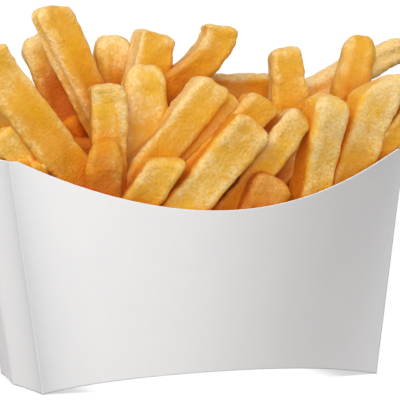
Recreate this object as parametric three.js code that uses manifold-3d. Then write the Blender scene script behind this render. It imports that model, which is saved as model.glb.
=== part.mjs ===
// A takeaway carton of french fries, in millimetres, +Z up, with the scooped front panel facing -Y.
// The carton is one folded sheet of paperboard: a bowed front and back, a side gusset at each end that is
// creased outward down its middle, and an arched base. The fries stand in it as one fused heap.
import * as THREE from "three";
import Module from "manifold-3d";

const wasm = await Module();
wasm.setup();

// Driving dimensions of the carton
const board = 0.45; // thickness of the paperboard
const shoulderHeight = 61; // where the front panel meets the side gussets
const baseWidth = 95; // between the two front corners, at the table
const shoulderWidth = 112; // the same, at the shoulders
const baseDepth = 37.6; // between a front corner and the back corner behind it
const shoulderDepth = 35;
const baseBow = 6.9; // how far the middle of a panel stands out from its corners
const shoulderBow = 13.4;
const baseBowPower = 1.7; // over 1, the bow starts softly beside the corner
const shoulderBowPower = 1.2;
const baseCrease = 2.4; // how far the gusset's crease stands out
const shoulderCrease = 3.4;
const baseArch = 4.6; // lift of the base in its middle
const scoopWidth = 107.4; // finger scoop in the front panel
const scoopDepth = 13.5;
const backHump = 9; // rise of the back panel above its shoulders
const panelSteps = 32; // facets across a panel
const wallSteps = 8; // facets up a wall

// Driving dimensions of the fries
const gap = 0.3; // clear space between the heap and the board
const footHeight = 40; // where the showing fries leave the solid middle of the heap
const coreEdge = 44; // height of that middle at the board
const coreCrown = 56; // and in the centre
const crownWidth = 0.72; // the crown, as a part of the heap's own width and depth
const crownDepth = 0.55;
const flat = 0.75; // the straight part of a fry's side, between its rounded edges
const endRound = 2.4; // length over which a fry's tip draws in
const endSize = 0.8; // and what is left of its width there
const hiddenRows = [ // fries behind the showing ones: part of the way to the panel, lowest tip, highest tip
  [-0.5, 50, 57],
  [-0.2, 58, 67],
  [0.12, 62, 72],
  [0.42, 67, 77],
  [0.68, 70, 78],
];
const hiddenPerRow = 9;
const hiddenSpan = 88; // length of a hidden row
const hiddenSide = 9; // width and thickness of a hidden fry, more or less hiddenSpread
const hiddenSpread = 1;
const hiddenFall = 7; // how much higher the left end of a hidden row stands than its middle
const hiddenFan = 0.45; // degrees of lean for each millimetre from the middle
const hiddenTilt = 14; // and up to this much either way at random
const hiddenTurn = 40;
const hiddenSlack = 0.5; // room kept between a hidden fry and the board

const degree = Math.PI / 180;
const mix = THREE.MathUtils.lerp;
const point = (x, y, z) => new THREE.Vector3(x, y, z);

// A stick of potato from foot to tip, in the middle of its ends. Its wide side faces turn degrees to the
// left of straight ahead, bend bows it sideways, cut slants its end, and flare widens it towards the tip.
function fry(tip, foot, wide, thick, { turn = 10, bend = 0, cut = 0, flare = 1 } = {}) {
  const top = point(...tip);
  const bottom = point(foot[0], foot[1], foot[2] ?? footHeight);
  return { top, bottom, wide, thick, turn: turn * degree, bend, slant: Math.tan(cut * degree), flare };
}

// The fries that show, each placed by hand: tip, foot, width, thickness
const showing = [
  // fanned out to the left
  fry([-39, 6, 99], [4, 6], 10, 9, { turn: 0, cut: -20 }),
  fry([-45, -4, 92], [-18, -10], 9, 9, { turn: 30, cut: -10 }),
  fry([-59, -8, 89], [-25, -14], 10, 9),
  fry([-57, -1, 78], [-30, -6], 8, 9),
  fry([-54, -10, 69], [-40, -11], 9, 9, { turn: 20 }),
  fry([-50, -13, 63], [-44, -12], 6, 6, { turn: 20 }),
  fry([-46, -15, 60], [-44, -14], 7, 6, { turn: 20 }),
  // upright, left of the middle
  fry([-28, -14, 80], [-29, -15], 9, 9, { turn: 20 }),
  fry([-16, -11, 84], [-19, -16], 11, 9, { turn: 15 }),
  fry([-31, -21, 67], [-30, -19], 11, 7, { turn: 26 }),
  fry([-18, 12, 93], [-16, 12], 10, 9),
  fry([-9, 7, 94], [-13, 2], 10, 9),
  // leaning to the right across the middle
  fry([10, 3, 94], [-27, -5], 8, 9, { turn: 20, cut: 18, flare: 1.3 }),
  fry([4, 12, 86], [-20, 12], 8, 9),
  fry([2, -12, 78], [-32, -15], 10, 10, { turn: 30 }),
  fry([-14, -22, 60], [-25, -19], 11, 8, { turn: 20, cut: 20 }),
  fry([15, -15, 74], [-21, -15], 9, 8, { turn: 20 }),
  fry([10, -24, 69], [-16, -21], 10, 8, { turn: 20 }),
  fry([25, -16, 71], [2, -17], 7, 8, { turn: 20 }),
  fry([15, -23, 54], [14, -21], 10, 8),
  // lying across the back
  fry([33, 12, 77], [-4, 12, 78], 7, 8),
  fry([74, 14, 85], [8, 12, 55], 7, 8, { bend: -3 }),
  // upright and fanned out to the right
  fry([27, -2, 88], [29, -6], 10, 9, { flare: 0.85 }),
  fry([51, 3, 91], [47, -4], 10, 9, { flare: 0.85 }),
  fry([47, -9, 78], [38, -10], 10, 8, { turn: -10, cut: 45 }),
  fry([33, -18, 76], [27, -17], 10, 8, { turn: 0 }),
  fry([59, -5, 79], [43, -8], 8, 8, { turn: 0 }),
  fry([57, -9, 74], [44, -8], 7, 7, { turn: 0 }),
];

// ---------- the carton ----------

const halfWidth = (z) => mix(baseWidth, shoulderWidth, z / shoulderHeight) / 2;
const halfDepth = (z) => mix(baseDepth, shoulderDepth, z / shoulderHeight) / 2;
const creaseOut = (z) => mix(baseCrease, shoulderCrease, z / shoulderHeight);

// Distance of a panel from the carton's middle plane, for a place across it from -1 to 1.
function panelOut(across, z) {
  const up = z / shoulderHeight;
  const power = mix(baseBowPower, shoulderBowPower, up);
  return halfDepth(z) + mix(baseBow, shoulderBow, up) * Math.max(1 - across * across, 0) ** power;
}

const baseHeight = (across) => baseArch * (1 - across * across);
const backRim = (across) => shoulderHeight + backHump * (1 - across * across) ** 2;

function frontRim(across) {
  const half = scoopWidth / 2;
  const radius = (half * half + scoopDepth * scoopDepth) / (2 * scoopDepth);
  const x = (across * shoulderWidth) / 2;
  if (Math.abs(x) >= half) return shoulderHeight;
  return shoulderHeight + radius - scoopDepth - Math.sqrt(radius * radius - x * x);
}

// Moves every point of a level loop inward, square to its two neighbouring sides.
function insetLoop(loop, inset) {
  return loop.map((here, i) => {
    const before = here.clone().sub(loop.at(i - 1)).setZ(0).normalize();
    const after = loop[(i + 1) % loop.length].clone().sub(here).setZ(0).normalize();
    const inward = point(-before.y - after.y, before.x + after.x, 0).normalize();
    const square = point(-before.y, before.x, 0);
    return here.clone().addScaledVector(inward, inset / inward.dot(square));
  });
}

// One turn round the carton, anticlockwise from above: front, right crease, back, left crease. front and
// back give the height for each place across a panel, and ends is the height of the gussets.
function wallLoop(front, back, ends, inset) {
  const loop = [];
  for (const [side, height] of [[1, front], [-1, back]]) {
    for (let i = 0; i <= panelSteps; i++) {
      const across = side * ((2 * i) / panelSteps - 1);
      const z = height(across);
      loop.push(point(across * halfWidth(z), -side * panelOut(across, z), z));
    }
    loop.push(point(side * (halfWidth(ends) + creaseOut(ends)), 0, ends));
  }
  return insetLoop(loop, inset);
}

// A closed body through a stack of rings. cap lists the triangles that span one ring, facing up.
function stackGeometry(rings, cap) {
  const count = rings[0].length;
  const index = cap.flatMap(([a, b, c]) => [c, b, a]);
  for (let start = 0; start < (rings.length - 1) * count; start += count) {
    for (let i = 0; i < count; i++) {
      const next = start + ((i + 1) % count);
      index.push(start + i, next, next + count, start + i, next + count, start + i + count);
    }
  }
  const last = (rings.length - 1) * count;
  index.push(...cap.flat().map((corner) => last + corner));
  return new THREE.BufferGeometry().setFromPoints(rings.flat()).setIndex(index);
}

// Spans a wall loop with strips from the front panel straight to the back one.
function wallCap() {
  const opposite = (i) => 2 * panelSteps + 2 - i;
  const cap = [[panelSteps, panelSteps + 1, panelSteps + 2], [opposite(0), opposite(0) + 1, 0]];
  for (let i = 0; i < panelSteps; i++) {
    cap.push([i, i + 1, opposite(i + 1)], [i, opposite(i + 1), opposite(i)]);
  }
  return cap;
}

// The folded board: up the outside from the base, over the rim, and down the inside.
function cartonGeometry() {
  const row = (up, inset) => {
    const reach = (rim) => (across) => mix(baseHeight(across) + inset, rim(across), up);
    return wallLoop(reach(frontRim), reach(backRim), mix(inset, shoulderHeight, up), inset);
  };
  const levels = Array.from({ length: wallSteps + 1 }, (_, i) => i / wallSteps);
  const outside = levels.map((up) => row(up, 0));
  const inside = levels.reverse().map((up) => row(up, board));
  return stackGeometry([...outside, ...inside], wallCap());
}

// ---------- the fries ----------

// The middle of the heap: it fills the carton below the showing fries, and has a low crown.
function coreGeometry() {
  const inset = board + gap;
  const row = (up) => {
    const height = (across) => mix(baseHeight(across) + inset, coreEdge, up);
    return wallLoop(height, height, mix(inset, coreEdge, up), inset);
  };
  const sides = [0, 0.2, 0.4, 0.6, 0.8, 1].map(row);
  const draw = point(crownWidth, crownDepth, coreCrown / coreEdge);
  const crown = sides.at(-1).map((corner) => corner.clone().multiply(draw));
  return stackGeometry([...sides, crown], wallCap());
}

// A fry's outline seen from its tip, as parts of half its width and half its thickness.
const outline = [[1, flat], [1, -flat], [flat, -1], [-flat, -1], [-1, -flat], [-1, flat], [-flat, 1], [flat, 1]];

function fryRings(stick) {
  const along = stick.top.clone().sub(stick.bottom);
  const length = along.length();
  along.normalize();
  const ahead = point(-Math.sin(stick.turn), -Math.cos(stick.turn), 0);
  const out = ahead.addScaledVector(along, -ahead.dot(along)).normalize();
  const side = along.clone().cross(out);
  const stations = [[0, 1], [0.35, 1], [0.7, 1], [1 - endRound / length, 1], [1, endSize]];
  return stations.map(([t, size], station) => {
    const middle = stick.bottom.clone().lerp(stick.top, t).addScaledVector(side, stick.bend * 4 * t * (1 - t));
    const slant = station > 2 ? stick.slant : 0;
    return outline.map(([x, y]) => {
      const across = (x * size * mix(1, stick.flare, t * t) * stick.wide) / 2;
      const forward = (y * size * stick.thick) / 2;
      return middle.clone().addScaledVector(side, across).addScaledVector(out, forward)
        .addScaledVector(along, across * slant);
    });
  });
}

const fryCap = outline.slice(2).map((_, i) => [0, i + 1, i + 2]);

// Draws numbers from 0 to 1 in the same order every time.
function seededRandom(seed) {
  let state = seed;
  return () => {
    state = (Math.imul(state, 1664525) + 1013904223) >>> 0;
    return state / 2 ** 32;
  };
}

// Whether a stick stays off the board, wherever it is lower than the rim of the back panel.
function clearOfBoard(stick) {
  return fryRings(stick).flat().every(({ x, y, z }) => {
    const across = x / halfWidth(z);
    if (z > backRim(across)) return true;
    return Math.abs(across) < 1 && Math.abs(y) + board + gap + hiddenSlack < panelOut(across, z);
  });
}

// Rows of shorter fries that fill the heap behind the showing ones and between them.
function hiddenFries() {
  const random = seededRandom(7);
  const between = (low, high) => mix(low, high, random());
  const size = () => between(hiddenSide - hiddenSpread, hiddenSide + hiddenSpread);
  const sticks = [];
  for (const [share, lowest, highest] of hiddenRows) {
    for (let i = 0; i < hiddenPerRow; i++) {
      const x = hiddenSpan * ((i + between(0.3, 0.7)) / hiddenPerRow - 0.5);
      const z = between(lowest, highest) - (2 * hiddenFall * x) / hiddenSpan;
      const lean = (x * hiddenFan + between(-hiddenTilt, hiddenTilt)) * degree;
      const footX = x - (z - footHeight) * Math.tan(lean);
      const back = (at, height) => share * panelOut(at / halfWidth(height), height);
      const turn = between(-hiddenTurn, hiddenTurn);
      const tip = [x, back(x, shoulderHeight), z];
      sticks.push(fry(tip, [footX, back(footX, footHeight)], size(), size(), { turn }));
    }
  }
  return sticks.filter(clearOfBoard);
}

function solid(geometry) {
  const vertProperties = new Float32Array(geometry.attributes.position.array);
  const triVerts = new Uint32Array(geometry.index.array);
  return new wasm.Manifold(new wasm.Mesh({ numProp: 3, vertProperties, triVerts }));
}

function heapGeometry() {
  const sticks = [...showing, ...hiddenFries()].map((stick) => solid(stackGeometry(fryRings(stick), fryCap)));
  const fused = sticks.reduce((heap, stick) => heap.add(stick), solid(coreGeometry()));
  // Only the outer skin is kept, so a hollow that the fries shut in is filled and a loose scrap is dropped.
  const skins = fused.decompose();
  const heap = skins.reduce((most, skin) => (skin.volume() > most.volume() ? skin : most));
  const { vertProperties, triVerts } = heap.getMesh();
  const geometry = new THREE.BufferGeometry();
  geometry.setAttribute("position", new THREE.BufferAttribute(vertProperties, 3));
  geometry.setIndex(new THREE.BufferAttribute(triVerts, 1));
  return geometry;
}

// ---------- the part ----------

function named(name, geometry, finish) {
  geometry.computeVertexNormals();
  const mesh = new THREE.Mesh(geometry, new THREE.MeshStandardMaterial({ ...finish, metalness: 0 }));
  mesh.name = name;
  return mesh;
}

const meal = new THREE.Group();
meal.add(named("carton", cartonGeometry(), { color: 0xf2f1ef, roughness: 0.8 }));
meal.add(named("fries", heapGeometry(), { color: 0xe0a83e, roughness: 0.55 }));

// The origin is under the middle of the whole, at the height of the table.
const box = new THREE.Box3().setFromObject(meal, true);
const middle = box.getCenter(point(0, 0, 0));
meal.position.set(-middle.x, -middle.y, -box.min.z);
meal.updateMatrixWorld(true);

export default meal;
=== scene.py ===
"""A takeaway portion of french fries: a white paperboard scoop carton with a heap of potato fries in it."""
from math import cos, pi, radians, sin, tan
from types import SimpleNamespace

import bpy
import numpy as np
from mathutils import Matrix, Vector


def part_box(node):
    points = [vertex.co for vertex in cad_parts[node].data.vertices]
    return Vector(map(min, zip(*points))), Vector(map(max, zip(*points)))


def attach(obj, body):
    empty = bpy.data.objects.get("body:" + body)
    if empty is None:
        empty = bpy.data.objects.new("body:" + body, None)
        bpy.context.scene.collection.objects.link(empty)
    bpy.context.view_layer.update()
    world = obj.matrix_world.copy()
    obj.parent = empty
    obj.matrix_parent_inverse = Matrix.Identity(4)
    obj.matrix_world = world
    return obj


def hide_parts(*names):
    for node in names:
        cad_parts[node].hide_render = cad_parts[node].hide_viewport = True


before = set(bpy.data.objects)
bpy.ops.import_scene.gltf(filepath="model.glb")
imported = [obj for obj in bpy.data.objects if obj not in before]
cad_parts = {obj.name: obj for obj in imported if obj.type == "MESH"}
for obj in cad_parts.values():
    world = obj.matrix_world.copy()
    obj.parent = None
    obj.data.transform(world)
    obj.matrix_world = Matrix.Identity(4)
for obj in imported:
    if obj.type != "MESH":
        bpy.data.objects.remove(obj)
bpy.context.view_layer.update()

MM = 0.001

# ---------- the carton, with its lengths in millimetres ----------

BOARD = 0.45            # thickness of the paperboard
SHOULDER_HEIGHT = 61    # where the front panel meets the side gussets
BASE_WIDTH = 95         # between the two front corners, at the table
SHOULDER_WIDTH = 112    # the same, at the shoulders
BASE_DEPTH = 37.6       # between a front corner and the back corner behind it
SHOULDER_DEPTH = 35
BASE_BOW = 6.9          # how far the middle of a panel stands out from its corners
SHOULDER_BOW = 13.4
BASE_BOW_POWER = 1.7    # over 1, the bow starts softly beside the corner
SHOULDER_BOW_POWER = 1.2
BASE_CREASE = 2.4       # how far the gusset's crease stands out
SHOULDER_CREASE = 3.4
FOLD_EASE = 0.6         # how far a panel holds back before it bows, as board is stiff beside a crease
FOLD_EASE_LENGTH = 7
GUSSET_BOW_POWER = 1.6  # over 1, a gusset leaves the corners nearly flat and turns at its crease
BASE_ARCH = 4.6         # lift of the base in its middle
SCOOP_WIDTH = 107.4     # finger scoop in the front panel
SCOOP_DEPTH = 13.5
BACK_HUMP = 9           # rise of the back panel above its shoulders
PANEL_STEPS = 110       # mesh columns across a panel
GUSSET_STEPS = 36       # and across a gusset
WALL_STEPS = 56         # mesh rows up a wall
EDGE_ROW = 0.005        # share of the wall's height kept as a narrow row beside its edges, so they stay crisp
FOLD_SHADE_LENGTH = 6   # how far the painted shade beside a fold reaches
FOLD_ROUND = 0.3        # how far a folded corner is rounded either way

# ---------- the heap and a fry, with their lengths in millimetres ----------

CORE_EDGE = 43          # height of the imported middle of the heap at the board
CORE_CROWN = 55         # and in the centre
CORE_GAP = 0.4          # clear space between the heap and the board
CORE_ROWS = 8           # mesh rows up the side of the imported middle
CROWN_ROWS = (0.85, 0.65, 0.4, 0.15)  # and over its top, each as a share of its width at the board
CORE_BROWN = 0.35       # how dark it has fried
RIM_ROOM = 0.5          # how far above the rim a fry is still held off the board
FOOT_HEIGHT = 40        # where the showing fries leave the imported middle
HOLLOW = 0.28           # how far a fry's faces sink in as it dries in the oil
WAVER = 0.07            # share by which a fry swells and thins
WAVER_LENGTH = 11       # and how far along it that takes
WAVER_STARTS = (3.3, 7.7)  # where its width and thickness start in the block of random heights
SWAY_ACROSS = 0.5       # how far it sways to the sides
SWAY_OUT = 0.4          # and to the front and back
SWAY_LENGTH = 20
SWAY_STARTS = (1.1, 5.5)
CUT_LENGTH = 14         # how far before the tip the slant of a cut begins
ROUND_SHARE = 0.75      # the most that an end is rounded in, as a share of half the fry's thickness
DENT_HEIGHT = 0.6       # broad dents where it pressed on others in the fryer
DENT_SIZE = 8
BUMP_HEIGHT = 0.24      # bumps where the crust lifted
BUMP_SIZE = 3.1
BEAD_HEIGHT = 0.14      # beads of crust, which are higher along a long edge
EDGE_BEAD_HEIGHT = 0.16
BEAD_SIZE = 1.5
GRAIN_SPREAD = 60       # how far apart two fries may lie in the patterns of the crust
RIM_REACH = 2.2         # how far from a tip its rim browns
DRIER_BY_CHANCE = 0.5   # the most that chance makes a back or right face drier, or less dry
AROUND = 44             # mesh columns round a showing fry
ALONG = 0.95            # length of a mesh row along it
BURIED_AROUND = 20      # the same for the fries behind
BURIED_ALONG = 3.0
FEWEST_ROWS = 6         # the fewest mesh rows along a fry
END_ROWS = 5            # mesh rows where its end rounds over
TIP_ROWS = (0.8, 0.6, 0.4, 0.2)  # and across its end, each as a share of the end's width
FIRST_SEED = 1000       # random number seed of a piece's first fry
SEED_STEP = 17          # from one fry's seed to the next
NOISE_CELLS = 32        # lumps on each side of the block of random heights

# ---------- the patterns of the materials, with their lengths in millimetres ----------

PULP_CLOUD = 9          # from one denser cloud of pulp in the board to the next
PULP_FIBRE = 0.7        # its fibres are 0.03 thick, too fine to show, so they are drawn this coarse
PULP_RELIEF = 0.02      # how far they stand out
BROWNED_PATCH = 8       # across a patch of crust that browned together
STARCH_STREAK = 2.2     # across a streak of dried starch
STREAK_STRETCH = 2.5    # how many times as long it is
CRUST_BLISTER = 0.8     # blisters are about 0.3 across, too fine to show, so they are drawn this coarse
STEAM_PIT = 0.9         # pits where steam came out are about 0.4 across, also too fine, and drawn this coarse
CRUST_RELIEF = 0.35     # how far the blisters and pits stand out
OCCLUSION_REACH = 28           # how near other things must come to count in the painted shade of hollows and the painted light of open places
FLOOR_SHADE = 3         # how far the shade on the floor reaches


def mix(a, b, t):
    """A share of the way from a to b."""
    return a + (b - a) * t


def unit(vectors):
    """The same directions with a length of one."""
    return vectors / np.linalg.norm(vectors, axis=-1, keepdims=True)


def smooth(t):
    """Runs from 0 to 1 with a soft start and end."""
    t = np.clip(t, 0, 1)
    return t * t * (3 - 2 * t)


# ---------- the carton's walls ----------

def half_width(z):
    """Half the carton's width between its folds at a height."""
    return mix(BASE_WIDTH, SHOULDER_WIDTH, z / SHOULDER_HEIGHT) / 2


def crease_out(z):
    """How far a gusset's crease stands out at a height."""
    return mix(BASE_CREASE, SHOULDER_CREASE, z / SHOULDER_HEIGHT)


def panel_out(across, z):
    """Distance of a panel from the carton's middle plane, for a place across it from -1 to 1."""
    up = z / SHOULDER_HEIGHT
    share = np.maximum(1 - across ** 2, 0) ** mix(BASE_BOW_POWER, SHOULDER_BOW_POWER, up)
    from_corner = (1 - np.abs(across)) * half_width(z)
    held_back = FOLD_EASE * (1 - np.exp(-from_corner / FOLD_EASE_LENGTH))
    bow = (mix(BASE_BOW, SHOULDER_BOW, up) + FOLD_EASE) * share - held_back
    return mix(BASE_DEPTH, SHOULDER_DEPTH, up) / 2 + bow


def base_height(across):
    """Height of the arched foot of a panel."""
    return BASE_ARCH * (1 - across ** 2)


def back_rim(across):
    """Height of the back panel's rim, a low hump."""
    return SHOULDER_HEIGHT + BACK_HUMP * (1 - across ** 2) ** 2


def front_rim(across):
    """Height of the front panel's rim, an arc scooped out for the fingers."""
    half = SCOOP_WIDTH / 2
    radius = (half ** 2 + SCOOP_DEPTH ** 2) / (2 * SCOOP_DEPTH)
    x = np.clip(np.abs(across) * SHOULDER_WIDTH / 2, 0, half)
    return SHOULDER_HEIGHT + radius - SCOOP_DEPTH - np.sqrt(radius ** 2 - x ** 2)


# where the middle of the carton's foot stands in the frame. Its back panel reaches furthest back at the rim
carton_low, carton_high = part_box("carton")
CENTRE = np.array([
    (carton_low.x + carton_high.x) / 2 / MM,
    carton_high.y / MM - panel_out(0, back_rim(0)),
    carton_low.z / MM,
])


# ---------- making meshes ----------

def make_piece(name, points, faces, material, shades, grain=None):
    """Turns points in the carton's millimetres into a smooth mesh piece that stands in the frame. shades
    holds four numbers for each point, and grain its place within its own stick."""
    mesh = bpy.data.meshes.new(name)
    mesh.from_pydata(((np.asarray(points) + CENTRE) * MM).tolist(), [], faces)
    mesh.shade_smooth()
    mesh.materials.append(material)
    layer = mesh.attributes.new("shades", "FLOAT_COLOR", "POINT")
    layer.data.foreach_set("color", np.asarray(shades, np.float32).ravel())
    if grain is not None:
        layer = mesh.attributes.new("grain", "FLOAT_VECTOR", "POINT")
        layer.data.foreach_set("vector", np.asarray(grain, np.float32).ravel())
    piece = bpy.data.objects.new(name, mesh)
    bpy.context.scene.collection.objects.link(piece)
    return piece


def ring_faces(rows, columns):
    """Quads between closed rings of points, row after row."""
    here = np.arange(rows * columns).reshape(rows, columns)
    low, high = here[:-1], here[1:]
    return np.stack([low, np.roll(low, -1, 1), np.roll(high, -1, 1), high], -1).reshape(-1, 4).tolist()


def lumps(points, size, seed):
    """A smooth random height from -1 to 1, with lumps of this size."""
    heights = np.random.default_rng(seed).uniform(-1, 1, (NOISE_CELLS, NOISE_CELLS, NOISE_CELLS))
    place = np.asarray(points) / size
    cell = np.floor(place).astype(int)
    part = smooth(place - cell)
    total = 0
    for corner in np.ndindex(2, 2, 2):
        weight = 1
        for axis, step in enumerate(corner):
            weight = weight * (part[..., axis] if step else 1 - part[..., axis])
        x, y, z = np.moveaxis((cell + corner) % NOISE_CELLS, -1, 0)
        total = total + weight * heights[x, y, z]
    return total


# ---------- materials ----------

# a colour mix has sockets of the same name, so they are called by number
MIX_SHARE = 0           # how much of the second colour
MIX_UNDER = 6           # the first colour
MIX_OVER = 7            # the second colour
MIXED = 2               # the colour that comes out


def linear(hex_colour):
    """An sRGB hex colour as linear red, green, blue and alpha."""
    parts = [int(hex_colour[i:i + 2], 16) / 255 for i in (1, 3, 5)]
    return (*(c / 12.92 if c <= 0.04045 else ((c + 0.055) / 1.055) ** 2.4 for c in parts), 1)


def add_node(tree, kind, settings=None, links=None):
    """Adds a node. settings are its own values by name and its sockets' values by name or number, and links
    are the outputs that feed its sockets."""
    node = tree.nodes.new(kind)
    for name, value in (settings or {}).items():
        if isinstance(name, str) and hasattr(node, name):
            setattr(node, name, value)
        else:
            node.inputs[name].default_value = value
    for name, output in (links or {}).items():
        tree.links.new(output, node.inputs[name])
    return node


def new_material(name):
    """A material and its node tree, which is empty."""
    material = bpy.data.materials.new(name)
    material.use_nodes = True
    tree = material.node_tree
    tree.nodes.clear()
    return material, tree


def bleached_paperboard():
    """Bleached paperboard, pressed smooth between rollers and folded: a matte white that is faintly cloudy
    from its pulp, with grey shade painted beside its folds."""
    material, tree = new_material("bleached_paperboard")
    place = add_node(tree, "ShaderNodeTexCoord").outputs["Object"]
    cloud = add_node(tree, "ShaderNodeTexNoise", {"Scale": 1 / (PULP_CLOUD * MM), "Detail": 3.0}, {
        "Vector": place,
    })
    fibre = add_node(tree, "ShaderNodeTexNoise", {"Scale": 1 / (PULP_FIBRE * MM), "Detail": 2.0}, {
        "Vector": place,
    })
    white = add_node(tree, "ShaderNodeMix", {
        "data_type": "RGBA", MIX_UNDER: linear("#F6F5F5"), MIX_OVER: linear("#FBFAF9"),
    }, {MIX_SHARE: cloud.outputs["Fac"]})

    # painted shade beside the folds: 0.6 of the way to grey
    shades = add_node(tree, "ShaderNodeVertexColor", {"layer_name": "shades"})
    near_fold = add_node(tree, "ShaderNodeSeparateColor", links={"Color": shades.outputs["Color"]})
    painted_fold_shade = add_node(tree, "ShaderNodeMath", {"operation": "MULTIPLY", 1: 0.6}, {0: near_fold.outputs["Red"]})
    fold_shaded = add_node(tree, "ShaderNodeMix", {"data_type": "RGBA", MIX_OVER: linear("#D2D2D4")}, {
        MIX_SHARE: painted_fold_shade.outputs[0], MIX_UNDER: white.outputs[MIXED],
    })
    flecked = add_node(tree, "ShaderNodeMix", {
        "data_type": "RGBA", "blend_type": "MULTIPLY", MIX_SHARE: 0.035,
    }, {MIX_UNDER: fold_shaded.outputs[MIXED], MIX_OVER: fibre.outputs["Color"]})

    relief = add_node(tree, "ShaderNodeBump", {"Strength": 0.12, "Distance": PULP_RELIEF * MM}, {
        "Height": fibre.outputs["Fac"],
    })
    surface = add_node(tree, "ShaderNodeBsdfPrincipled", {
        "Roughness": 0.62, "IOR": 1.46, "Specular IOR Level": 0.35,
    }, {"Base Color": flecked.outputs[MIXED], "Normal": relief.outputs[0]})
    add_node(tree, "ShaderNodeOutputMaterial", links={"Surface": surface.outputs[0]})
    return material


def crust_causes(tree):
    """What the look of a fry's crust depends on, each as a node's output. Its shades are how near a long edge
    is, how near the rim of an end is, how brown the stick has fried and how much darker it is made away
    from its tip, and how much paler this face is made than the rest, which partly paints in light and
    shade."""
    shades = add_node(tree, "ShaderNodeVertexColor", {"layer_name": "shades"})
    parts = add_node(tree, "ShaderNodeSeparateColor", links={"Color": shades.outputs["Color"]})
    grain = add_node(tree, "ShaderNodeAttribute", {"attribute_name": "grain"}).outputs["Vector"]
    streaked = add_node(tree, "ShaderNodeMapping", {"Scale": (1, 1, 1 / STREAK_STRETCH)}, {"Vector": grain})
    patches = add_node(tree, "ShaderNodeTexNoise", {
        "Scale": 1 / BROWNED_PATCH, "Detail": 3.0, "Roughness": 0.6,
    }, {"Vector": grain})
    streaks = add_node(tree, "ShaderNodeTexNoise", {
        "Scale": 1 / STARCH_STREAK, "Detail": 4.0, "Roughness": 0.7,
    }, {"Vector": streaked.outputs[0]})
    blisters = add_node(tree, "ShaderNodeTexNoise", {
        "Scale": 1 / CRUST_BLISTER, "Detail": 3.0, "Roughness": 0.65,
    }, {"Vector": grain})
    pits = add_node(tree, "ShaderNodeTexVoronoi", {"Scale": 1 / STEAM_PIT}, {"Vector": grain})
    # occlusion, which drives the painted shade in the hollows and the painted light in the open
    air = add_node(tree, "ShaderNodeAmbientOcclusion", {"Distance": OCCLUSION_REACH * MM, "samples": 6})
    # which way the crust faces, so that faces turned up can be painted paler
    geometry = add_node(tree, "ShaderNodeNewGeometry")
    facing = add_node(tree, "ShaderNodeSeparateXYZ", links={"Vector": geometry.outputs["Normal"]})
    return SimpleNamespace(
        edge=parts.outputs["Red"], rim=parts.outputs["Green"], brown=parts.outputs["Blue"],
        face_lightness=shades.outputs["Alpha"], patches=patches.outputs["Fac"], streaks=streaks.outputs["Fac"],
        blisters=blisters.outputs["Fac"], pits=pits.outputs["Distance"], unoccluded=air.outputs["AO"],
        upward=facing.outputs["Z"])


def golden(tree, crust):
    """Golden all over, deeper where it browned, which differs from stick to stick and from patch to patch,
    and deeper away from the tip, which partly paints in the shade lower in the heap.
    """
    tone = crust.brown
    for share, cause in ((0.65, crust.patches), (0.25, crust.blisters)):
        added = add_node(tree, "ShaderNodeMath", {"operation": "MULTIPLY_ADD", 1: share}, {0: cause, 2: tone})
        tone = added.outputs[0]
    colour = add_node(tree, "ShaderNodeValToRGB", links={"Fac": tone})
    stops = colour.color_ramp.elements
    for stop, position, shade in ((stops[0], 0.3, "#EEB62C"), (stops[1], 1.0, "#CC6E1A")):
        stop.position = position
        stop.color = linear(shade)
    for position, shade in ((0.55, "#E7A21C"), (0.8, "#DA8916")):
        stops.new(position).color = linear(shade)
    return colour.outputs["Color"]


def cream_dried_and_lit(tree, crust, colour):
    """It turns straw and then blisters cream where it dries, in streaks, and less where it browned. The
    paleness along its long edges, where it stands clear of the heap, where it faces up and on faces made
    paler is painted highlight and painted light."""
    # patches and streaks are real drying; the edges, open places, faces turned up and faces made paler add
    # painted light
    dry_and_lit = crust.patches
    for share, cause in ((0.6, crust.streaks), (0.16, crust.edge), (0.36, crust.unoccluded),
                         (0.12, crust.upward), (-0.57, crust.brown), (0.25, crust.face_lightness)):
        added = add_node(tree, "ShaderNodeMath", {"operation": "MULTIPLY_ADD", 1: share}, {0: cause, 2: dry_and_lit})
        dry_and_lit = added.outputs[0]
    dry_and_lit_share = add_node(tree, "ShaderNodeMapRange", {"From Min": 0.84, "From Max": 1.5}, {"Value": dry_and_lit})
    mottle = add_node(tree, "ShaderNodeMapRange", {
        "From Min": 0.36, "From Max": 0.64, "To Min": 0.56, "To Max": 1.0,
    }, {"Value": crust.blisters})
    pale = add_node(tree, "ShaderNodeMath", {"operation": "MULTIPLY"}, {
        0: dry_and_lit_share.outputs[0], 1: mottle.outputs[0],
    })
    straw = add_node(tree, "ShaderNodeMix", {"data_type": "RGBA", MIX_OVER: linear("#F6CA66")}, {
        MIX_SHARE: pale.outputs[0], MIX_UNDER: colour,
    })
    crisp = add_node(tree, "ShaderNodeMapRange", {"From Min": 0.36, "From Max": 1.05, "To Max": 0.75}, {
        "Value": pale.outputs[0],
    })
    cream = add_node(tree, "ShaderNodeMix", {"data_type": "RGBA", MIX_OVER: linear("#FDECBE")}, {
        MIX_SHARE: crisp.outputs[0], MIX_UNDER: straw.outputs[MIXED],
    })
    return cream.outputs[MIXED]


def browned_rims(tree, crust, colour):
    """The rims of its ends catch first and go brown."""
    rim = add_node(tree, "ShaderNodeMath", {"operation": "MULTIPLY"}, {0: crust.rim, 1: crust.blisters})
    share = add_node(tree, "ShaderNodeMapRange", {"From Min": 0.3, "From Max": 0.6, "To Max": 0.6}, {
        "Value": rim.outputs[0],
    })
    browned = add_node(tree, "ShaderNodeMix", {"data_type": "RGBA", MIX_OVER: linear("#C88420")}, {
        MIX_SHARE: share.outputs[0], MIX_UNDER: colour,
    })
    return browned.outputs[MIXED]


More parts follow.
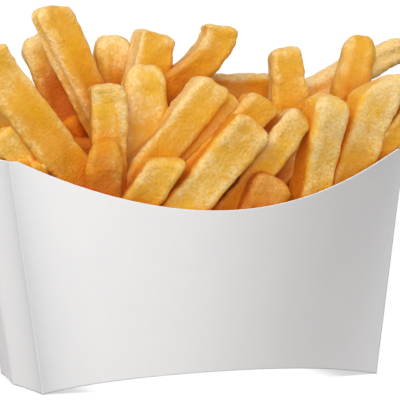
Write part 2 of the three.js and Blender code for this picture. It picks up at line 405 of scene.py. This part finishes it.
def painted_gap_shade(tree, crust, colour):
    """Painted shade: where sticks lie against each other the crust is made a deeper orange, less so on a
    face made paler."""
    # painted shade in the hollows, from how closed in a place is
    open_and_pale = add_node(tree, "ShaderNodeMath", {"operation": "MULTIPLY_ADD", 1: 0.25}, {
        0: crust.face_lightness, 2: crust.unoccluded,
    })
    gap_shade = add_node(tree, "ShaderNodeMapRange", {
        "From Min": 0.05, "From Max": 0.55, "To Min": 0.7, "To Max": 0.0,
    }, {"Value": open_and_pale.outputs[0]})
    gap_shaded = add_node(tree, "ShaderNodeMix", {
        "data_type": "RGBA", "blend_type": "MULTIPLY", MIX_OVER: linear("#F89648"),
    }, {MIX_SHARE: gap_shade.outputs[0], MIX_UNDER: colour})
    return gap_shaded.outputs[MIXED]


def fried_potato():
    """Potato cut into sticks and fried crisp in oil: a thin, rough, softly shining crust, golden where it
    stayed moist, cream and blistered where it dried and brown round its cut ends, with painted light that
    makes it paler where it is open and faces up, and painted shade that makes it deep orange where the
    sticks lie close."""
    material, tree = new_material("fried_potato")
    crust = crust_causes(tree)
    colour = golden(tree, crust)
    for colour_stage in (cream_dried_and_lit, browned_rims, painted_gap_shade):
        colour = colour_stage(tree, crust, colour)

    # a pit sinks in half as far as a blister stands out
    height = add_node(tree, "ShaderNodeMath", {"operation": "MULTIPLY_ADD", 1: -0.5}, {
        0: crust.pits, 2: crust.blisters,
    })
    relief = add_node(tree, "ShaderNodeBump", {"Strength": 0.9, "Distance": CRUST_RELIEF * MM}, {
        "Height": height.outputs[0],
    })
    surface = add_node(tree, "ShaderNodeBsdfPrincipled", {
        "Roughness": 0.42, "IOR": 1.45, "Specular IOR Level": 0.15,
        "Sheen Weight": 0.4, "Sheen Roughness": 0.5, "Sheen Tint": linear("#FFB450"),
    }, {"Base Color": colour, "Normal": relief.outputs[0]})
    add_node(tree, "ShaderNodeOutputMaterial", links={"Surface": surface.outputs[0]})
    return material


# ---------- the carton ----------

# places across a panel from -1 to 1, which lie closer together beside its folds
ACROSS = np.sin(np.linspace(-pi / 2, pi / 2, PANEL_STEPS + 1))


def wall_loop(front, back, ends):
    """One turn round the carton, anticlockwise from above, with its corners rounded as folded board is. front
    and back are the heights across those panels, and ends is the height of the gussets."""
    lean = np.sin(np.linspace(-pi / 2, pi / 2, GUSSET_STEPS + 1))[1:-1]
    out = half_width(ends) + crease_out(ends) * (1 - np.abs(lean)) ** GUSSET_BOW_POWER
    depth = panel_out(np.ones(1), ends)[0]
    loop = []
    for side, z in ((1, front), (-1, back)):
        place = side * ACROSS
        loop.append(np.stack([place * half_width(z), -side * panel_out(place, z), z], -1))
        loop.append(np.stack([side * out, side * lean * depth, np.full(lean.shape, float(ends))], -1))
    return round_folds(np.concatenate(loop))


def round_folds(loop):
    """Averages each place of a closed loop with the places a fold's rounding away."""
    step = np.linalg.norm(np.roll(loop, -1, 0) - loop, axis=1)
    along = np.concatenate([[0], np.cumsum(step)])
    closed = np.concatenate([loop, loop[:1]])
    total = along[-1]
    shifted = []
    for share in (-1, -0.5, 0, 0.5, 1):
        at = (along[:-1] + share * FOLD_ROUND) % total
        shifted.append(np.stack([np.interp(at, along, closed[:, axis]) for axis in range(3)], -1))
    rounded = np.mean(shifted, axis=0)
    rounded[:, 2] = loop[:, 2]
    return rounded


def move_in(loop, distance):
    """Moves every point of a level loop inward, square to the loop."""
    ahead = np.roll(loop, -1, 0) - np.roll(loop, 1, 0)
    inward = np.stack([-ahead[:, 1], ahead[:, 0], np.zeros(len(loop))], -1)
    return loop + distance * inward / np.linalg.norm(inward, axis=1, keepdims=True)


def fold_nearness(loop):
    """How near each place of a wall loop is to a fold, from 0 to 1."""
    half = PANEL_STEPS + GUSSET_STEPS
    folds = loop[[0, PANEL_STEPS, half, half + PANEL_STEPS]]
    gap = np.linalg.norm(loop[:, None] - folds, axis=2).min(1)
    return np.exp(-gap / FOLD_SHADE_LENGTH)


def base_faces(first, up):
    """Spans one wall loop in strips from the front panel to the back one."""
    half = PANEL_STEPS + GUSSET_STEPS
    faces = [[i, i + 1, half + PANEL_STEPS - i - 1, half + PANEL_STEPS - i] for i in range(PANEL_STEPS)]
    faces += [list(range(PANEL_STEPS, half + 1)), [*range(PANEL_STEPS + half, 2 * half), 0]]
    return [[first + i for i in (face if up else face[::-1])] for face in faces]


def fold_carton(material):
    """The folded board: up the outside from the base, over the rim, and down the inside."""
    def ring(up, lift):
        """The loop a share of the way up from the base, which is lifted inside by the board's thickness."""
        foot = base_height(ACROSS) + lift
        front = mix(foot, front_rim(ACROSS), up)
        back = mix(foot, back_rim(ACROSS), up)
        return wall_loop(front, back, mix(lift, SHOULDER_HEIGHT, up))

    levels = np.sort([*np.linspace(0, 1, WALL_STEPS + 1), EDGE_ROW, 1 - EDGE_ROW])
    outside = [ring(up, 0) for up in levels]
    inside = [move_in(ring(up, BOARD), BOARD) for up in levels[::-1]]
    rings = outside + inside
    columns = len(rings[0])
    faces = ring_faces(len(rings), columns)
    faces += base_faces(0, up=False) + base_faces((len(rings) - 1) * columns, up=True)
    # nearness to a fold, for the shade painted beside it
    shades = np.repeat(np.concatenate([fold_nearness(loop) for loop in rings])[:, None], 4, 1)
    return make_piece("carton_board", np.concatenate(rings), faces, material, shades)


# ---------- the fries ----------

def fry(tip, foot, wide, thick, turn=10, knee=None, cut=0, flare=1, end=2.2, edge=1.4,
        brown=0.12, deep=0.4, fade=42, front=0, left=0):
    """A stick of potato. foot and tip are the middles of its ends, and it bends towards its knee where it has
    one. Its wide front face turns this many degrees to the left of straight ahead, cut slants its end by
    degrees, flare widens it towards the tip, and end and edge are how far its tip and its long edges are
    rounded. brown is how dark it has fried, deep how much darker it is made away from the tip, over fade
    millimetres, which partly paints in the shade lower in the heap, and front and left are how much paler
    those two faces are made than the rest, which mostly paints in the light and shade that fall on them."""
    foot = np.array(foot if len(foot) == 3 else [*foot, FOOT_HEIGHT], float)
    tip = np.array(tip, float)
    knee = (tip + foot) / 2 if knee is None else np.array(knee, float)
    return SimpleNamespace(
        tip=tip, foot=foot, knee=knee, wide=wide, thick=thick, turn=radians(turn), cut=tan(radians(cut)),
        flare=flare, end=end, edge=edge, brown=brown, deep=deep, fade=fade, front=front, left=left)


SHOWING = [
    # fanned out to the left
    fry([-37.8, 4, 100], [-13, -5], 8, 6.6, turn=-22, cut=-14, flare=1.46, end=3.4, edge=1.8,
        brown=0.04, front=-0.5, left=1.5),
    fry([-38, 15, 91.4], [-20.6, 10], 9.6, 8, turn=12, flare=1.05, end=3.6, edge=2.2,
        brown=-0.4, deep=1.2, fade=17, front=0.7, left=1),
    fry([-60.6, -10, 88.5], [-26.7, -16], 11.4, 9.2, turn=-8, edge=1.3,
        brown=0.04, deep=0.32, front=-0.1),
    fry([-56, -3, 79], [-30, -9], 8, 8),
    fry([-55.5, -10, 69], [-34, -11], 9, 9, turn=20, brown=-0.06),
    fry([-50.5, -13, 62.5], [-44, -12], 5.5, 6, turn=20, front=0.5),
    fry([-47.4, -15, 61], [-44, -14], 4.6, 6, turn=20, end=1.6),
    # upright, left of the middle
    fry([-28.2, -15, 80], [-28.6, -17], 8.9, 8.5, turn=12, knee=[-27.3, -15, 70], end=1.8,
        brown=-0.05, deep=0.75, front=0.2),
    fry([-14.4, -6, 84.4], [-18.6, -8], 13.2, 9, flare=0.84, end=5, edge=2.4,
        brown=-0.02, deep=0.3, front=0.8, left=1),
    fry([-31.6, -21, 66], [-31, -20], 9.6, 7, turn=26, cut=20, flare=0.8, end=4, edge=2.2,
        brown=0.3, deep=1.1, fade=36, front=-0.8),
    fry([-16.8, 14, 91.3], [-15, 14], 10.4, 9, end=4.8, edge=2.2,
        brown=-0.35, deep=0.8, fade=13, front=1.1),
    fry([-7, 6, 92.6], [-22, 1], 12.4, 9, turn=-4, cut=-2, flare=0.8,
        brown=0, front=-0.2, left=1.6),
    # leaning to the right across the middle
    fry([10.6, 3, 93.9], [-12, -1, 75], 8.4, 8.5, turn=8, knee=[10.5, 2, 84.5], cut=-8, flare=1.22,
        end=2.6, edge=1.8, brown=0.03, deep=0.5, fade=34, front=-0.3, left=0.5),
    fry([2, 10, 77.5], [-20, 12], 8, 8),
    fry([2, -14, 79.2], [-32.4, -17], 9.6, 9, turn=8, cut=5, end=1.8,
        brown=0.04, deep=0.25, front=-0.1, left=1.1),
    fry([7.4, -12, 76.5], [-25, -15], 7, 8, brown=0, deep=0.1, front=0.4, left=0.2),
    fry([-14.6, -23, 61.1], [-28, -20], 10, 8, cut=30, end=2.6,
        brown=0, deep=0.5, fade=30, front=-0.2, left=-0.3),
    fry([15.5, -15.5, 74.7], [-22, -16], 8.8, 8, turn=8, cut=16, end=1.2, edge=1.2,
        deep=0.2, front=-0.3, left=-0.2),
    fry([10.2, -23, 69.6], [-16.4, -20], 11, 8.5, turn=8, end=2.8,
        brown=0.18, deep=-0.2, fade=26, front=0.5, left=-0.8),
    fry([25.8, -17.5, 70.6], [-0.8, -17], 8, 8, end=2.6, brown=-0.02, front=0.2, left=0.8),
    fry([15.8, -24, 54.8], [5, -22, 36], 10.5, 8, end=3, edge=2.4, brown=0.5, front=0.65),
    fry([28.2, -13.4, 62.2], [9.4, -12], 6.4, 6, turn=14, end=1.8,
        brown=0, deep=0.9, fade=14, front=1.6),
    # lying across the back
    fry([33, 12, 75.3], [-4, 12, 76.7], 7.5, 7, knee=[14, 12, 77.8], edge=1.8,
        brown=-0.2, deep=0.15, front=-0.2, left=0.9),
    fry([22.4, 19, 76.1], [5.4, 19, 78.9], 5, 6, brown=0.3),
    fry([50, 9, 69.5], [-4, 10, 70.5], 9, 9, brown=0.1),
    fry([73, 14, 86.2], [8, 12, 59.5], 9, 7.6, knee=[56, 14, 83.4], flare=0.72, edge=2.6,
        deep=-0.55, fade=36, front=0.8, left=0.4),
    # upright and fanned out to the right
    fry([26.8, -2, 87.8], [30, -7], 13.4, 8.5, turn=8, cut=5, flare=0.6, edge=2, brown=0, left=1),
    fry([52, 3, 90.4], [38, -5], 11, 8.5, turn=14, cut=6, flare=0.84, end=5.5, edge=3.2,
        brown=0.06, front=-0.3, left=0.2),
    fry([50.8, -12, 79.4], [34.4, -16], 11.4, 8.5, turn=-8, cut=42, end=2.6,
        brown=-0.04, front=0.6, left=-0.8),
    fry([33, -18.5, 75.7], [26.4, -18], 10, 9.4, turn=-10, end=3.4, edge=1.8,
        brown=-0.08, deep=0.15, front=0.5, left=-0.7),
    fry([60, -6, 78], [24, -9], 7.5, 8, turn=0, brown=0.25),
    fry([60.5, -12.5, 71.5], [30, -13], 7, 7, turn=0),
    # low down, filling the gap beside the middle
    fry([17, -8, 71], [3, -10], 8, 8, brown=0.25),
    fry([22, -5.5, 72], [10, -9], 8, 8, brown=0.1),
    fry([20, -12, 71.5], [11, -11], 6.4, 6, brown=0.2, front=-0.5, left=-0.4),
]


def cut_outline(wide, thick, rounding, columns):
    """A rounded, slightly hollow-faced outline: its points, outward directions, nearness to a long edge, and
    the face each point is on, as 0 at the back, 1 to the right, 2 in front and 3 to the left."""
    half = np.array([wide, thick]) / 2
    straight = 2 * (half - rounding)
    corner = rounding * pi / 2
    total = 2 * straight.sum() + 4 * corner
    at = (np.arange(columns) + 0.5) / columns * total
    points = np.zeros((columns, 2))
    outward = np.zeros((columns, 2))
    edge = np.zeros(columns)
    face = np.zeros(columns)
    start = 0
    for side in range(4):
        length = straight[side % 2]
        sideways = half[side % 2] - rounding
        depth = half[(side + 1) % 2]
        ahead = np.array([round(cos(pi / 2 * side)), round(sin(pi / 2 * side))])
        out = np.array([ahead[1], -ahead[0]])

        on = (at >= start) & (at < start + length)
        along = (at[on] - start) / length * 2 - 1
        sunk = HOLLOW * (1 - along ** 2)
        points[on] = ahead * (along * sideways)[:, None] + out * (depth - sunk)[:, None]
        outward[on] = out
        edge[on] = along ** 4
        face[on] = side
        start += length

        on = (at >= start) & (at < start + corner)
        angle = (at[on] - start) / rounding
        direction = out * np.cos(angle)[:, None] + ahead * np.sin(angle)[:, None]
        points[on] = ahead * sideways + out * (depth - rounding) + direction * rounding
        outward[on] = direction
        edge[on] = 1
        face[on] = side + angle / (pi / 2)
        start += corner
    return points, outward, edge, face


def keep_inside(points):
    """Presses what would cross the board flat against its inner face."""
    x, y, z = points.T
    level = np.clip(z, 0, SHOULDER_HEIGHT)
    room = half_width(level) - BOARD - CORE_GAP
    x = np.where(z < SHOULDER_HEIGHT + RIM_ROOM, np.clip(x, -room, room), x)
    across = np.clip(x / half_width(level), -1, 1)
    room = panel_out(across, level) - BOARD - CORE_GAP
    rim = np.where(y < 0, front_rim(across), back_rim(across))
    y = np.where(z < rim + RIM_ROOM, np.clip(y, -room, room), y)
    return np.stack([x, y, z], -1)


def fry_rows(stick, length, row_length):
    """How far each mesh row is from the foot, and its size as a share of the fry's own: even until the end
    starts to round over, then round the end and across it."""
    half = min(stick.wide, stick.thick) / 2
    inward = min(stick.end, ROUND_SHARE * half)
    steps = max(int(length / row_length), FEWEST_ROWS)
    rows = [(t * (length - stick.end), 1.0) for t in np.linspace(0, 1, steps)]
    for turn in np.linspace(0, pi / 2, END_ROWS + 1)[1:]:
        rows.append((length - stick.end * (1 - sin(turn)), 1 - inward * (1 - cos(turn)) / half))
    flat = rows[-1][1]
    rows += [(length, flat * share) for share in TIP_ROWS]
    return np.array(rows).T[..., None]


def fry_line(stick, t):
    """The line that a fry follows, and its directions: along it, out of its front face, and across it."""
    line = (1 - t) ** 2 * stick.foot + 2 * t * (1 - t) * stick.knee + t ** 2 * stick.tip
    along = unit((1 - t) * (stick.knee - stick.foot) + t * (stick.tip - stick.knee))
    ahead = np.array([-sin(stick.turn), -cos(stick.turn), 0])
    out = unit(ahead - along * (along @ ahead)[:, None])
    across = np.cross(along, out)
    return line[:, None], along[:, None], out[:, None], across[:, None]


def drift(distance, start, length, seed):
    """A slow random drift along a stick, from -1 to 1, that takes this length to turn."""
    places = np.concatenate([distance, 0 * distance, 0 * distance], 1) + start
    return lumps(places, length, seed)[:, None]


def crust_shades(stick, from_tip, size, edge, face, draw):
    """The four shades of each point of the crust. Over an end, the long edges fade out and the rim fades
    towards the middle."""
    edge_near = edge * np.clip(size * 2 - 1, 0, 1)
    rim_near = np.clip(size * 1.6 - 0.6, 0, 1) * smooth(1 - from_tip / RIM_REACH)
    # deep makes a stick darker away from its tip, which partly paints in the shade lower in the heap
    browned = stick.brown + stick.deep * smooth(from_tip / stick.fade)
    # the paleness of each face: the back and right ones differ by chance, the front and left ones are chosen
    # to paint in the light and shade that fall on them
    back, right = draw.uniform(-DRIER_BY_CHANCE, DRIER_BY_CHANCE, 2)
    face_lightness = np.interp(face, range(5), [back, right, stick.front, stick.left, back])
    return np.stack(np.broadcast_arrays(edge_near, rim_near, browned, face_lightness), -1).reshape(-1, 4)


def close_ends(points, shades, grain, columns):
    """Adds a point in the middle of the tip and one in the middle of the foot, and the faces of the fry."""
    last = len(points) - columns
    faces = ring_faces(len(points) // columns, columns)
    for i in range(columns):
        after = (i + 1) % columns
        faces.append([last + i, last + after, last + columns])
        faces.append([after, i, last + columns + 1])
    points = np.concatenate([points, [points[last:].mean(0), points[:columns].mean(0)]])
    grain = np.concatenate([grain, [grain[last:].mean(0), grain[:columns].mean(0)]])
    shades = np.concatenate([shades, shades[-1:], shades[:1]])
    return points, faces, shades, grain


def shape_fry(stick, columns, row_length, seed):
    """The points, faces, crust shades and grain of one fry."""
    draw = np.random.default_rng(seed)
    bent = np.linalg.norm(stick.knee - stick.foot) + np.linalg.norm(stick.tip - stick.knee)
    length = (bent + np.linalg.norm(stick.tip - stick.foot)) / 2
    outline, outward, edge, face = cut_outline(stick.wide, stick.thick, stick.edge, columns)
    distance, size = fry_rows(stick, length, row_length)
    t = distance / length
    line, along, out, across = fry_line(stick, t)

    # it flares, wavers in thickness, slants at its cut and sways a little
    flared = size * mix(1, stick.flare, t * t)
    x = outline[:, 0] * flared * (1 + WAVER * drift(distance, WAVER_STARTS[0], WAVER_LENGTH, seed))
    y = outline[:, 1] * size * (1 + WAVER * drift(distance, WAVER_STARTS[1], WAVER_LENGTH, seed))
    slant = smooth((distance - length + CUT_LENGTH) / CUT_LENGTH) * x * stick.cut
    x = x + SWAY_ACROSS * drift(distance, SWAY_STARTS[0], SWAY_LENGTH, seed)
    y = y + SWAY_OUT * drift(distance, SWAY_STARTS[1], SWAY_LENGTH, seed)
    points = line + slant[..., None] * along + x[..., None] * across + y[..., None] * out

    # crisp relief: broad dents, bumps, and a beaded long edge
    over = np.clip((distance - length + stick.end) / stick.end, 0, 1)[..., None]
    sideways = outward[:, 0, None] * across + outward[:, 1, None] * out
    direction = unit(sideways * (1 - over) + along * over)
    grain = np.stack([x, y, distance + slant], -1) + draw.uniform(0, GRAIN_SPREAD, 3)
    relief = DENT_HEIGHT * lumps(grain, DENT_SIZE, seed + 1) + BUMP_HEIGHT * lumps(grain, BUMP_SIZE, seed + 2)
    relief += (BEAD_HEIGHT + EDGE_BEAD_HEIGHT * edge) * lumps(grain, BEAD_SIZE, seed + 3)
    points = keep_inside((points + relief[..., None] * direction).reshape(-1, 3))
    shades = crust_shades(stick, length - distance, size, edge, face, draw)
    return close_ends(points, shades, grain.reshape(-1, 3), columns)


def heap_up(name, sticks, columns, row_length, material):
    """Joins many fries into one piece."""
    points, faces, shades, grain = [], [], [], []
    count = 0
    for number, stick in enumerate(sticks):
        shape = shape_fry(stick, columns, row_length, FIRST_SEED + SEED_STEP * number)
        points.append(shape[0])
        faces.extend([[count + i for i in face] for face in shape[1]])
        shades.append(shape[2])
        grain.append(shape[3])
        count += len(shape[0])
    return make_piece(name, np.concatenate(points), faces, material,
                      np.concatenate(shades), np.concatenate(grain))


BURIED_SEED = 11
BURIED_SIZE = (8, 10)   # the least and most that a buried fry is wide and thick
BURIED_ROWS = [  # share of the way to the back panel, or to the front one below 0, and lowest and highest tip
    (-0.45, 48, 53), (-0.2, 52, 58), (0.12, 56, 63), (0.42, 60, 70), (0.68, 66, 76),
]
ROW_FRIES = 9           # fries in a row
ROW_SPREAD = 88         # length of a row
ROW_FALL = 5            # how much lower it ends on the right than it starts on the left
ROW_PLACE = (0.3, 0.7)  # where in its own part of the row a fry stands
ROW_TURN = 40           # degrees that chance turns it either way
ROW_BROWN = (0.2, 0.5)  # how dark it has fried
FAN = 0.45              # degrees that it leans out for each millimetre from the middle
LEAN_BY_CHANCE = 14     # degrees that chance leans it either way
GUSSET_PLACE = 43       # how far to each side the fries stand that fill the carton beside its gussets
GUSSET_FOOT = 0.88      # share of that at their feet
GUSSET_TIPS = [(-2, 59), (8, 57), (17, 61)]  # how far back each stands, and how high
GUSSET_SHIFT = 2        # how far chance moves a tip either way
GUSSET_TURN = 30
GUSSET_BROWN = (0.1, 0.4)


def buried_fry(tip, foot, turn, brown, chance):
    """A fry whose thickness, turn and browning are left to chance."""
    wide, thick = chance.uniform(*BURIED_SIZE), chance.uniform(*BURIED_SIZE)
    return fry(tip, foot, wide, thick, turn=chance.uniform(-turn, turn), brown=chance.uniform(*brown))


def buried_fries():
    """Rows of shorter fries that fill the heap behind the showing ones and between them, and a few more that
    fill the carton beside its gussets."""
    chance = np.random.default_rng(BURIED_SEED)
    sticks = []
    for share, lowest, highest in BURIED_ROWS:
        for i in range(ROW_FRIES):
            x = ROW_SPREAD * ((i + chance.uniform(*ROW_PLACE)) / ROW_FRIES - 0.5)
            z = chance.uniform(lowest, highest) - ROW_FALL * x / ROW_SPREAD
            lean = radians(FAN * x + chance.uniform(-LEAN_BY_CHANCE, LEAN_BY_CHANCE))
            foot_x = x - (z - FOOT_HEIGHT) * tan(lean)
            foot_across = np.clip(foot_x / half_width(FOOT_HEIGHT), -1, 1)
            tip = [x, share * panel_out(x / half_width(SHOULDER_HEIGHT), SHOULDER_HEIGHT), z]
            foot = [foot_x, share * panel_out(foot_across, FOOT_HEIGHT)]
            sticks.append(buried_fry(tip, foot, ROW_TURN, ROW_BROWN, chance))
    for x in (-GUSSET_PLACE, GUSSET_PLACE):
        for y, z in GUSSET_TIPS:
            to_side = chance.uniform(-GUSSET_SHIFT, GUSSET_SHIFT)
            tip = [x + to_side, y, z + chance.uniform(-GUSSET_SHIFT, GUSSET_SHIFT)]
            sticks.append(buried_fry(tip, [GUSSET_FOOT * x, y], GUSSET_TURN, GUSSET_BROWN, chance))
    return sticks


def packed_core(material):
    """The middle of the heap, below the fries that show."""
    clear = BOARD + CORE_GAP
    rings = []
    for up in np.linspace(0, 1, CORE_ROWS):
        height = mix(base_height(ACROSS) + clear, CORE_EDGE, up)
        rings.append(move_in(wall_loop(height, height, mix(clear, CORE_EDGE, up)), clear))
    edge = rings[-1]
    columns = len(edge)
    for share in CROWN_ROWS:
        ring = edge * [share, share, 1]
        ring[:, 2] = mix(CORE_CROWN, CORE_EDGE, share)
        rings.append(ring)
    points = np.concatenate(rings)
    faces = ring_faces(len(rings), columns)
    faces += base_faces(0, up=False) + base_faces(len(points) - columns, up=True)
    shades = np.tile([0.0, 0.0, CORE_BROWN, 0.0], (len(points), 1))
    return make_piece("fries_core", points, faces, material, shades, points)


potato = fried_potato()
paper = bleached_paperboard()

carton = fold_carton(paper)
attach(carton, "root")
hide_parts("carton")

showing = heap_up("fries_showing", SHOWING, AROUND, ALONG, potato)
buried = heap_up("fries_buried", buried_fries(), BURIED_AROUND, BURIED_ALONG, potato)
core = packed_core(potato)
for piece in (showing, buried, core):
    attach(piece, "root")
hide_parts("fries")


# ---------- the studio ----------

FLOOR_HALF = 4            # metres from the middle of the floor to its edges
LIGHT_AIM = (0, 0, 0.05)  # what the lights point at, in metres
CAMERA_LEFT = 20.8        # degrees to the left of the carton's front
CAMERA_ABOVE = 5.9        # degrees above it
CAMERA_AIM = [3.3, 0, 47.2]  # millimetres from the foot of the carton's middle
CAMERA_DISTANCE = 786     # millimetres
PIXELS_PER_MM = 3.70      # at the aim
IMAGE_SIZE = 400          # pixels
SENSOR = 36               # millimetres
NEAREST_SEEN = 0.01       # metres from the camera
ROOM_GLOW = 0.2           # how bright the white room around is
WHITE = linear("#FFFFFF")
CREAM_CARD = linear("#FFEABC")  # card that catches the fries' own colour


def lay_floor():
    """A matte sweep that glows until it bleaches out white, with only a soft line of shade where the carton
    touches it. It throws no light or reflection of its own on the object."""
    material, tree = new_material("white_sweep")
    shade = add_node(tree, "ShaderNodeAmbientOcclusion", {"Distance": FLOOR_SHADE * MM, "samples": 8})
    glow = add_node(tree, "ShaderNodeMapRange", {
        "From Min": 0.25, "From Max": 0.7, "To Min": 0.62, "To Max": 1.0,
    }, {"Value": shade.outputs["AO"]})
    surface = add_node(tree, "ShaderNodeBsdfPrincipled", {
        "Base Color": linear("#6A6A6A"), "Roughness": 1.0, "Specular IOR Level": 0.0, "Emission Color": WHITE,
    }, {"Emission Strength": glow.outputs[0]})
    add_node(tree, "ShaderNodeOutputMaterial", links={"Surface": surface.outputs[0]})
    corners = [(x * FLOOR_HALF, y * FLOOR_HALF, 0) for x, y in ((-1, -1), (1, -1), (1, 1), (-1, 1))]
    mesh = bpy.data.meshes.new("sweep")
    mesh.from_pydata(corners, [], [(0, 1, 2, 3)])
    mesh.materials.append(material)
    floor = bpy.data.objects.new("sweep", mesh)
    floor.visible_diffuse = False
    floor.visible_glossy = False
    bpy.context.scene.collection.objects.link(floor)


def around(left, above, distance):
    """A place this many degrees to the left of the carton's front and above the floor."""
    left, above = radians(left), radians(above)
    return (-distance * sin(left) * cos(above), -distance * cos(left) * cos(above), distance * sin(above))


def hang_light(name, left, above, distance, size, watts, lit, colour=WHITE):
    """A square soft light that lights only these pieces. Its distance and size are in metres."""
    light = bpy.data.lights.new(name, "AREA")
    light.energy = watts
    light.size = size
    light.color = colour[:3]
    lamp = bpy.data.objects.new(name, light)
    lamp.location = around(left, above, distance)
    lamp.rotation_euler = (Vector(LIGHT_AIM) - lamp.location).to_track_quat("-Z", "Y").to_euler()
    receivers = bpy.data.collections.new(name + "_lights")
    for piece in lit:
        receivers.objects.link(piece)
    lamp.light_linking.receiver_collection = receivers
    bpy.context.scene.collection.objects.link(lamp)


def light_studio():
    """Soft boxes and cards for the white carton, and others for the heap, in a dim white room."""
    board = [carton]
    heap = [showing, buried, core]
    hang_light("key", 38, 40, 1.3, size=0.6, watts=12, lit=board)
    hang_light("low_card", 38, 4, 1.2, size=0.6, watts=5, lit=board)
    hang_light("heap_key", 60, 48, 1.3, size=0.5, watts=5.0, lit=heap)
    hang_light("heap_front", 21, 40, 1.3, size=0.8, watts=4.2, lit=heap)
    hang_light("heap_card", 21, 8, 1.3, size=0.6, watts=6.2, lit=heap)
    hang_light("heap_left", 95, 10, 1.3, size=0.9, watts=7.0, lit=heap, colour=CREAM_CARD)
    hang_light("heap_right", -66, 20, 1.3, size=0.9, watts=6.0, lit=heap, colour=CREAM_CARD)
    hang_light("heap_back", 190, 40, 1.3, size=0.9, watts=3.6, lit=heap)
    hang_light("left_side", 112, 20, 1.2, size=0.8, watts=1.2, lit=board)
    hang_light("left_backdrop", 150, 20, 1.2, size=0.8, watts=5.6, lit=board)
    hang_light("right_backdrop", -120, 20, 1.2, size=0.8, watts=5, lit=board)
    world = bpy.data.worlds.new("studio")
    world.use_nodes = True
    room = world.node_tree.nodes["Background"].inputs
    room["Color"].default_value = linear("#FFFCFA")
    room["Strength"].default_value = ROOM_GLOW
    bpy.context.scene.world = world
    bpy.context.scene.view_settings.view_transform = "Standard"


def set_camera():
    """Looks at the carton from a little to its left and just above the rim."""
    back = np.array(around(CAMERA_LEFT, CAMERA_ABOVE, 1))
    data = bpy.data.cameras.new("camera")
    data.sensor_width = SENSOR
    data.lens = PIXELS_PER_MM * CAMERA_DISTANCE / IMAGE_SIZE * SENSOR
    data.clip_start = NEAREST_SEEN
    camera = bpy.data.objects.new("camera", data)
    camera.location = (CAMERA_AIM + CENTRE + back * CAMERA_DISTANCE) * MM
    camera.rotation_euler = Vector(-back).to_track_quat("-Z", "Y").to_euler()
    bpy.context.scene.collection.objects.link(camera)
    bpy.context.scene.camera = camera


lay_floor()
light_studio()
set_camera()
